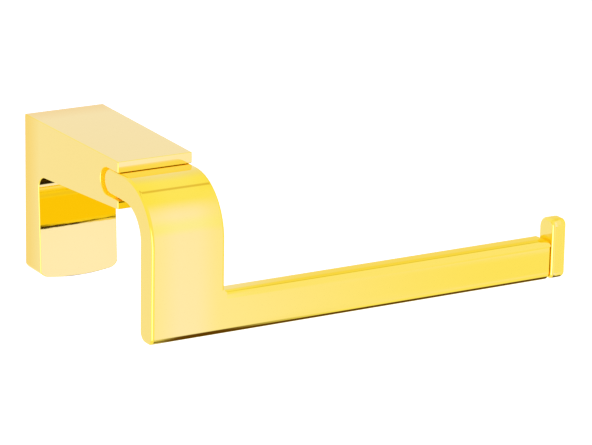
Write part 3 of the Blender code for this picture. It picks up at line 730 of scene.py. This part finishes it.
# ---------------------------------------------------------------- roll arm: strap and bar in one
def roll_arm():
    low, high = ARM_LOW, ARM_HIGH
    half, inner = STRAP_THICKNESS / 2, STRAP_BEND_RADIUS - STRAP_THICKNESS
    mid, side = high.z - half, STRAP_WIDTH / 2
    arm = prism("strap_and_bar", rounded_outline([
        (high.y, mid - half, half), (high.y, mid + half, half),
        (low.y, mid + half, STRAP_BEND_RADIUS), (low.y, low.z, BAR_FOOT_RADIUS),
        (BAR_BACK_Y, low.z, BAR_FOOT_RADIUS), (BAR_BACK_Y, mid - half, inner),
    ], ROUND_NOSE_STEP), low.x, high.x, "x")
    top = mid + half + OVERCUT
    combine(arm, prism("front", rounded_outline([
        (low.x - OVERCUT, top, 0), (low.x - OVERCUT, low.z - OVERCUT, 0),
        (high.x + OVERCUT, low.z - OVERCUT, 0),
        (high.x + OVERCUT, BAR_TOP - BAR_END_RADIUS, 0), (high.x, BAR_TOP - BAR_END_RADIUS, 0),
        (high.x, BAR_TOP, BAR_END_RADIUS - OVERCUT / 100), (side, BAR_TOP, INNER_CORNER_RADIUS),
        (side, top, 0),
    ]), low.y - OVERCUT, high.y + OVERCUT, "y"), "INTERSECT")
    for y, outward in ((low.y, -1), (BAR_BACK_Y, 1)):
        centre_y, centre_z = y - outward * BAR_TOP_RADIUS, BAR_TOP - BAR_TOP_RADIUS
        past = y + outward * OVERCUT
        trim = [(past, centre_z), (y, centre_z)]
        for k in range(1, BAR_TOP_STEPS):
            angle = math.pi / 2 * k / BAR_TOP_STEPS
            trim.append((centre_y + outward * BAR_TOP_RADIUS * math.cos(angle),
                         centre_z + BAR_TOP_RADIUS * math.sin(angle)))
        trim += [(centre_y, BAR_TOP), (centre_y, BAR_TOP + OVERCUT), (past, BAR_TOP + OVERCUT)]
        combine(arm, prism("top_edge", trim, side + INNER_CORNER_RADIUS, high.x + OVERCUT, "x"))
    above = BAR_TOP + INNER_CORNER_RADIUS - HAIR
    soften_where(arm, STRAP_EDGE, lambda at: abs(at.x - low.x) < HAIR or abs(at.x - high.x) < HAIR
                 or (abs(at.x - side) < HAIR and at.z > above))
    for side_name, at in ARM_SCREWS.items():
        bush_low, bush_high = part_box(f"arm_bush_{side_name}")
        screw_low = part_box(f"arm_screw_{side_name}")[0]
        wide = bush_high.x - bush_low.x + 2 * GAP
        mouth = (at.x, high.y + OVERCUT, at.z)
        combine(arm, rod("thread", wide - THREAD_IN_ARM, mouth, (at.x, screw_low.y - OVERCUT, at.z)))
        combine(arm, rod("socket", wide, mouth, (at.x, bush_low.y - GAP, at.z)))
    at = middle("end_stop_stud")
    combine(arm, rod("bore", STUD_HIGH.z - STUD_LOW.z + 2 * GAP, (STUD_LOW.x - GAP, at.y, at.z),
                     (high.x + OVERCUT, at.y, at.z)))
    finish_shading(arm, GOLD_SHARP)
    return fit(arm, ["roll_arm"], "holder", "arm_gold")


# ---------------------------------------------------------------- end stop
def end_stop():
    low, high = STOP_LOW, STOP_HIGH
    near = low.x - STOP_CLOSER
    stop = prism("bar_end_stop", rounded_outline([
        (low.y, high.z, STOP_FRONT_RADIUS), (low.y, low.z, STOP_FRONT_RADIUS),
        (high.y, low.z, STOP_BACK_RADIUS), (high.y, high.z, STOP_BACK_RADIUS),
    ]), near, high.x, "x")
    soften_where(stop, STOP_EDGE, lambda at: abs(at.x - near) < HAIR)
    soften_where(stop, STOP_OUTER_EDGE, lambda at: abs(at.x - high.x) < HAIR)
    at = middle("end_stop_stud")
    combine(stop, rod("bore", STUD_HIGH.z - STUD_LOW.z + 2 * GAP, (low.x - OVERCUT, at.y, at.z),
                      (STUD_HIGH.x + GAP, at.y, at.z)))
    finish_shading(stop, GOLD_SHARP)
    return fit(stop, ["end_stop"], "holder", "stop_gold")


def end_stop_stud():
    length, radius = STUD_HIGH.x - STUD_LOW.x, (STUD_HIGH.z - STUD_LOW.z) / 2
    at, edge = middle("end_stop_stud"), THREAD_EDGE
    stud = turned("threaded_stud", [
        (0, 0), (radius - edge, 0), (radius, edge), (radius, length - edge), (radius - edge, length),
        (0, length),
    ], (STUD_LOW.x, at.y, at.z), (1, 0, 0), thread=(edge, length - edge, 0.0007, 0.00032))
    finish_shading(stud, 50)
    return fit(stud, ["end_stop_stud"], "holder", "steel")


# ---------------------------------------------------------------- wall plate, its screws and plugs
def wall_plate():
    low, high = PLATE_LOW, PLATE_HIGH
    corner = CAVITY_CORNER_RADIUS - PLATE_IN_CAVITY
    plate = prism("pressed_wall_plate", rounded_outline([
        (low.x, high.z, corner), (low.x, low.z, corner), (high.x, low.z, corner), (high.x, high.z, corner),
    ]), low.y, 0, "y")
    inside = [(low.x - OVERCUT, low.z + PLATE_THICKNESS), (high.x + OVERCUT, low.z + PLATE_THICKNESS),
              (high.x + OVERCUT, high.z - PLATE_THICKNESS), (low.x - OVERCUT, high.z - PLATE_THICKNESS)]
    combine(plate, prism("inside", inside, low.y - OVERCUT, -PLATE_THICKNESS, "y"))
    soften(plate, PLATE_EDGE)
    boss_radius, boss_top = (BOSS_DIAMETER + PLATE_THICKNESS) / 2, PLATE_THICKNESS + BOSS_LIFT
    half, tight = SCREW_HOLE_RADIUS, SCREW_HOLE_RADIUS - HAIR
    for which, at in WALL_SCREWS.items():
        z = at.z
        combine(plate, turned("boss", [
            (0, 0), (boss_radius + 0.0005, 0), (boss_radius + 0.0005, PLATE_THICKNESS - 0.0004),
            (boss_radius + 0.0001, PLATE_THICKNESS + 0.0002), (boss_radius - 0.0003, boss_top - 0.0001),
            (boss_radius - 0.0006, boss_top), (0, boss_top),
        ], (0, 0, z), (0, -1, 0)), "UNION")
        combine(plate, rod("boss_hollow", BOSS_DIAMETER, (0, OVERCUT, z), (0, -BOSS_LIFT, z)))
        tall = half + (SLOT_TRAVEL / 2 if which == "lower" else 0)
        combine(plate, prism("hole", rounded_outline([
            (-half, z + tall, tight), (-half, z - tall, tight),
            (half, z - tall, tight), (half, z + tall, tight),
        ], HOLE_STEP), low.y, OVERCUT, "y"))
    finish_shading(plate, 34)
    return fit(plate, ["wall_plate"], "wall_mount", "zinc_plate")


def wall_screw(which):
    low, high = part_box(f"wall_screw_{which}")
    at = WALL_SCREWS[which]
    head, shank = (high.x - low.x) / 2, WALL_SCREW_SHANK / 2
    length, tall = high.y - low.y, WALL_SCREW_HEAD
    profile = [
        (0, length), (shank * 0.2, length - 0.0002), (shank * 0.96, length - 0.0035),
        (shank, length - 0.0040),
        (shank, tall + 0.0030), (shank * 0.86, tall + 0.0022), (shank * 0.86, tall), (head - 0.0001, tall),
        (head, tall - 0.0002), (head * 0.985, tall * 0.72), (head * 0.93, tall * 0.42),
        (head * 0.80, tall * 0.20), (head * 0.58, tall * 0.07), (head * 0.30, tall * 0.015), (0, 0),
    ]
    screw = turned(f"wood_screw_{which}", profile, (at.x, low.y, at.z), (0, 1, 0),
                   thread=(tall + 0.0022, length - 0.0002, 0.0014, 0.00055))
    blade, wing = CROSS_WIDTH / 2, CROSS_LENGTH / 2
    for across, upright in ((blade, wing), (wing, blade)):
        combine(screw, prism("recess", [
            (at.x - across, at.z - upright), (at.x + across, at.z - upright),
            (at.x + across, at.z + upright), (at.x - across, at.z + upright),
        ], low.y - OVERCUT, low.y + CROSS_DEPTH, "y"))
    finish_shading(screw, 45)
    return fit(screw, [f"wall_screw_{which}"], "wall_mount", "steel")


def wall_plug(which):
    low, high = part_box(f"wall_plug_{which}")
    at = middle(f"wall_plug_{which}")
    outer, inner, length = (high.x - low.x) / 2, PLUG_BORE / 2, high.y - low.y
    profile = [(inner, 0.0004), (inner + 0.0003, 0), (outer - 0.0002, 0), (outer, 0.0002), (outer, 0.0012),
               (outer - 0.0003, 0.0016), (outer - 0.0003, 0.0046)]
    run = (length - PLUG_RIBS_FROM - PLUG_RIBS_STOP_SHORT) / PLUG_RIBS
    for k in range(PLUG_RIBS):
        h = PLUG_RIBS_FROM + k * run
        profile += [(outer - 0.0005, h), (outer, h + run * 0.75), (outer, h + run * 0.9)]
    profile += [(outer - 0.0003, length - 0.0034), (outer - 0.0007, length - 0.0001),
                (outer - 0.0009, length), (inner, length)]
    plug = turned(f"ribbed_plug_{which}", profile, (at.x, low.y, at.z), (0, 1, 0))
    slit = PLUG_SLIT / 2
    combine(plug, prism("slit", [
        (at.x - slit, at.z - outer - OVERCUT), (at.x + slit, at.z - outer - OVERCUT),
        (at.x + slit, at.z + outer + OVERCUT), (at.x - slit, at.z + outer + OVERCUT),
    ], low.y + PLUG_SLIT_FROM, high.y + OVERCUT, "y"))
    finish_shading(plug, 30)
    return fit(plug, [f"wall_plug_{which}"], "wall_mount", "nylon")


def set_screw():
    at = middle("set_screw")
    radius, length, edge = (SET_HIGH.x - SET_LOW.x) / 2, SET_HIGH.z - SET_LOW.z, THREAD_EDGE
    screw = turned("socket_set_screw", [
        (0, 0), (radius - edge, 0), (radius, edge), (radius, length - 2 * edge),
        (radius - 2 * edge, length), (0, length),
    ], (at.x, at.y, SET_LOW.z), (0, 0, 1), thread=(edge, length - 2 * edge, 0.0007, 0.00033))
    hex_socket(screw, SET_SCREW_KEY, (at.x, at.y, SET_LOW.z - OVERCUT),
               (at.x, at.y, SET_LOW.z + SET_SCREW_KEY_DEPTH))
    finish_shading(screw, 45)
    return fit(screw, ["set_screw"], "clamp_screw", "black_steel")


# ---------------------------------------------------------------- what holds the arm in the bracket
def arm_screw(side_name):
    low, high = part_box(f"arm_screw_{side_name}")
    at, edge, tall = ARM_SCREWS[side_name], THREAD_EDGE, ARM_SCREW_HEAD
    head, shank, length = (high.x - low.x) / 2, ARM_SCREW_SHANK / 2, high.y - low.y
    screw = turned(f"cap_screw_{side_name}", [
        (0, 0), (shank - edge, 0), (shank, edge), (shank, length - tall - edge), (shank, length - tall),
        (head - 0.0001, length - tall), (head, length - tall + 0.0001), (head, length - edge),
        (head - 0.0001, length - edge / 3), (head - edge, length), (0, length),
    ], (at.x, low.y, at.z), (0, 1, 0), sides=56, thread=(edge, length - tall - edge, 0.0005, 0.00024))
    hex_socket(screw, ARM_SCREW_KEY, (at.x, high.y - ARM_SCREW_KEY_DEPTH, at.z),
               (at.x, high.y + OVERCUT, at.z))
    finish_shading(screw, 45)
    return fit(screw, [f"arm_screw_{side_name}"], "holder", "black_steel")


def screw_ring(name, low, high, at, edge, sides):
    """A flat or tall ring round an arm screw's shank, with its edges broken."""
    outer, hole, length = (high.x - low.x) / 2, WASHER_HOLE / 2, high.y - low.y
    return turned(name, [
        (hole, edge), (hole + edge, 0), (outer - edge, 0), (outer, edge),
        (outer, length - edge), (outer - edge, length), (hole + edge, length), (hole, length - edge),
    ], (at.x, low.y, at.z), (0, 1, 0), sides=sides)


def arm_washer(side_name):
    low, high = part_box(f"arm_washer_{side_name}")
    at, lean, past = ARM_SCREWS[side_name], 0.0002, OVERCUT / 4
    washer = screw_ring(f"split_washer_{side_name}", low, high, at, edge=0.00012, sides=64)
    combine(washer, prism("split", [
        (at.x - GAP - lean, low.y - past), (at.x + GAP - lean, low.y - past),
        (at.x + GAP + lean, high.y + past), (at.x - GAP + lean, high.y + past),
    ], at.z, at.z + high.x - low.x, "z"))
    finish_shading(washer, 35)
    return fit(washer, [f"arm_washer_{side_name}"], "holder", "steel")


def arm_bush(side_name):
    low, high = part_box(f"arm_bush_{side_name}")
    bush = screw_ring(f"brass_bush_{side_name}", low, high, ARM_SCREWS[side_name], edge=0.0002, sides=48)
    finish_shading(bush, 35)
    return fit(bush, [f"arm_bush_{side_name}"], "holder", "brass")


wall_plate()
for which in ("upper", "lower"):
    wall_screw(which)
    wall_plug(which)
bracket_body()
set_screw()
roll_arm()
for side_name in ("left", "right"):
    arm_screw(side_name)
    arm_washer(side_name)
    arm_bush(side_name)
end_stop()
end_stop_stud()


# ---------------------------------------------------------------- floor and light
FLOOR_DROP = 0.30
FLOOR_HALF = 6.0
FLOOR_SQUARES = 24
FLOOR_FLAT = 4.0  # the sheet sweeps up beyond this
FLOOR_SWEEP = 0.35
PAPER = (0.93, 0.93, 0.93, 1.0)
PAPER_LIGHT = (0.96, 0.96, 0.955, 1.0)


def paper():
    """Pale matt paper with a faint mottle and a little light of its own."""
    pale = bpy.data.materials.new("pale_paper")
    pale.use_nodes = True
    tree = pale.node_tree
    shader = tree.nodes["Principled BSDF"]
    place = node(tree, "ShaderNodeTexCoord")
    mottle = node(tree, "ShaderNodeTexNoise", {"Scale": 9.0, "Detail": 3.0})
    shade = node(tree, "ShaderNodeMix", data_type="RGBA")
    shade.inputs[6].default_value = PAPER
    shade.inputs[7].default_value = PAPER_LIGHT
    tree.links.new(place.outputs["Object"], mottle.inputs["Vector"])
    tree.links.new(mottle.outputs["Fac"], shade.inputs[0])
    tree.links.new(shade.outputs[2], shader.inputs["Base Color"])
    shader.inputs["Roughness"].default_value = 0.9
    shader.inputs["Emission Color"].default_value = (1.0, 1.0, 1.0, 1.0)
    shader.inputs["Emission Strength"].default_value = 0.35
    return pale


def floor():
    """A sheet of pale paper below the object. The gold doesn't mirror it."""
    sheet = bmesh.new()
    bmesh.ops.create_grid(sheet, x_segments=FLOOR_SQUARES, y_segments=FLOOR_SQUARES, size=FLOOR_HALF)
    for v in sheet.verts:
        v.co.z = -FLOOR_DROP + max(0.0, v.co.length - FLOOR_FLAT) ** 2 * FLOOR_SWEEP
    made = thing_from("floor", sheet)
    made.data.shade_smooth()
    made.data.materials.append(paper())
    made.visible_glossy = False
    made.visible_diffuse = False


# Panels of the light tent: a colour, and the limits of the directions it covers, over the panels before it.
# A limit is (axis, from, to). Cover grows from none to full as the direction's share along the axis goes
# that way.
X, Y, Z = (1, 0, 0), (0, 1, 0), (0, 0, 1)
TENT = [
    # the pale front wall, and the whiter stretches that the fronts of the bracket, strap and bar mirror
    ((1.00, 0.985, 1.40), [(Y, -0.20, -0.60)]),
    ((1.00, 1.000, 1.35), [(Y, -0.25, -0.72), (X, 0.400, 0.340), (X, -0.750, -0.550)]),
    ((1.02, 1.050, 4.40), [(Y, -0.25, -0.72), (X, 0.535, 0.420), (X, 0.300, 0.370)]),
    ((1.00, 1.080, 2.90), [(Y, -0.40, -0.80), (Z, 0.00, 0.26), (Z, 0.62, 0.30), (X, 0.300, 0.370),
                           (X, 0.560, 0.500)]),
    ((1.00, 1.010, 2.90), [(Y, -0.50, -0.70), (X, 0.460, 0.490), (Z, -0.285, -0.265), (Z, -0.230, -0.250)]),
    ((1.00, 1.000, 2.40), [(Y, -0.50, -0.70), (X, 0.460, 0.490), (Z, -0.325, -0.350)]),
    # the wall behind: on the left, then on the right above the object's level, and on the right below it
    ((0.97, 0.960, 2.00), [(Y, 0.50, 0.75), (X, -0.20, -0.35), (X, -0.620, -0.520)]),
    ((0.93, 0.915, 1.45), [(Y, 0.40, 0.70), (X, 0.20, 0.35), (Z, 0.08, 0.22)]),
    ((0.95, 0.860, 0.55), [(Y, 0.10, 0.30), (X, 0.455, 0.485), (Z, 0.08, 0.22)]),
    ((1.00, 0.920, 0.25), [(Y, 0.50, 0.75), (X, 0.20, 0.35), (Z, 0.00, -0.15)]),
    # a white stretch high at the front for the bar's rounded top edge, and two tan cards overhead, which
    # are mirrored as the thin lines along the bar and across the strap's bend
    ((1.00, 1.000, 2.10), [(Y, 0.00, -0.20), (Z, -0.05, 0.20), (X, 0.455, 0.475), (X, 0.620, 0.580)]),
    ((0.78, 0.640, 0.25), [(Z, 0.66, 0.80), (Y, -0.02, 0.04), (Y, 0.17, 0.12), (X, 0.460, 0.480),
                           (X, 0.545, 0.535)]),
    ((0.80, 0.660, 0.45), [(Z, 0.55, 0.75), (Y, 0.07, 0.12), (Y, 0.20, 0.15), (X, 0.490, 0.470)]),
    # black cards below: the dark lines on the back plate and in the bend under the arm
    ((0.020, 0.012, 0.006), [(Z, -0.60, -0.72), (X, 0.422, 0.412), (X, 0.370, 0.390), (Y, 0.62, 0.48)]),
    ((0.020, 0.012, 0.006), [(Z, -0.60, -0.72), (X, 0.434, 0.426), (X, 0.370, 0.390), (Y, 0.02, -0.08)]),
    ((0.060, 0.035, 0.005), [(Z, -0.78, -0.84), (X, 0.446, 0.436), (X, 0.370, 0.390), (Y, -0.22, -0.12),
                             (Y, 0.22, 0.12)]),
    # brown cards below: the dark line along the foot of the strap and the bar
    ((0.110, 0.052, 0.003), [(Z, -0.64, -0.72), (Y, -0.17, -0.07), (Y, 0.66, 0.56), (X, 0.436, 0.446),
                             (X, 0.620, 0.580)]),
    ((0.110, 0.052, 0.003), [(Z, -0.64, -0.72), (Y, -0.55, -0.40), (Y, 0.66, 0.56), (X, 0.436, 0.446),
                             (X, 0.490, 0.455)]),
]
# A blue lamp low on the left, added over the panels. It makes the gold that mirrors it paler.
# Direction, full cover, edge of it, colour.
LAMP = ((-0.91, -0.24, -0.34), 0.950, 0.87, (0.9, 1.2, 5.0))


def light_tent():
    """A white tent all round, with its tinted panels, its dark cards and its lamp."""
    world = bpy.data.worlds.new("light_tent")
    bpy.context.scene.world = world
    world.use_nodes = True
    tree = world.node_tree
    back = tree.nodes["Background"]
    join = tree.links.new
    place = node(tree, "ShaderNodeTexCoord")
    unit = node(tree, "ShaderNodeVectorMath", operation="NORMALIZE")
    join(place.outputs["Generated"], unit.inputs[0])

    def cover(axis, start, full):
        share = node(tree, "ShaderNodeVectorMath", {1: Vector(axis).normalized()}, operation="DOT_PRODUCT")
        join(unit.outputs["Vector"], share.inputs[0])
        grow = ramp(tree, start, full, 0.0, 1.0) if start < full else ramp(tree, full, start, 1.0, 0.0)
        join(share.outputs["Value"], grow.inputs[0])
        return grow.outputs[0]

    def lay(colour, mask, under, **how):
        layer = node(tree, "ShaderNodeMix", data_type="RGBA", **how)
        layer.inputs[6].default_value = (1.0, 1.0, 1.0, 1.0)
        layer.inputs[7].default_value = (*colour, 1.0)
        if under:
            join(under, layer.inputs[6])
        join(mask, layer.inputs[0])
        return layer.outputs[2]

    tent = None
    for colour, limits in TENT:
        mask = cover(*limits[0])
        for limit in limits[1:]:
            both = node(tree, "ShaderNodeMath", operation="MULTIPLY")
            join(mask, both.inputs[0])
            join(cover(*limit), both.inputs[1])
            mask = both.outputs[0]
        tent = lay(colour, mask, tent)
    direction, inner, outer, colour = LAMP
    tent = lay(colour, cover(direction, outer, inner), tent, blend_type="ADD")
    join(tent, back.inputs["Color"])
    back.inputs["Strength"].default_value = 1.0


floor()
light_tent()

# ---------------------------------------------------------------- camera
AZIMUTH = math.radians(-30.114)
ELEVATION = math.radians(17.030)
ROLL = math.radians(0.992)
DISTANCE = 1.1238
FOCAL_LENGTH = 212.838  # millimetres, on a 36 mm sensor
AIM = (ARM_LOW + ARM_HIGH) / 2 + Vector((-0.00021, 0.02267, -0.00542))


def camera():
    """Looks at AIM from the left and a little above, with a slight roll."""
    made = bpy.data.cameras.new("camera")
    made.sensor_width = 36.0
    made.lens = FOCAL_LENGTH
    made.clip_start, made.clip_end = 0.05, 50.0
    back = Vector((math.sin(AZIMUTH) * math.cos(ELEVATION), -math.cos(AZIMUTH) * math.cos(ELEVATION),
                   math.sin(ELEVATION)))
    level = Vector((math.cos(AZIMUTH), math.sin(AZIMUTH), 0.0))
    upright = back.cross(level)
    right = math.cos(ROLL) * level + math.sin(ROLL) * upright
    up = -math.sin(ROLL) * level + math.cos(ROLL) * upright
    stand = link("camera", made)
    turn = Matrix((right, up, back)).transposed().to_4x4()
    stand.matrix_world = Matrix.Translation(AIM + back * DISTANCE) @ turn
    bpy.context.scene.camera = stand


camera()
bpy.context.scene.view_settings.view_transform = "Standard"
# the gold mirrors itself many times over in the slot and under the arm
bpy.context.scene.cycles.max_bounces = 24
bpy.context.scene.cycles.glossy_bounces = 24
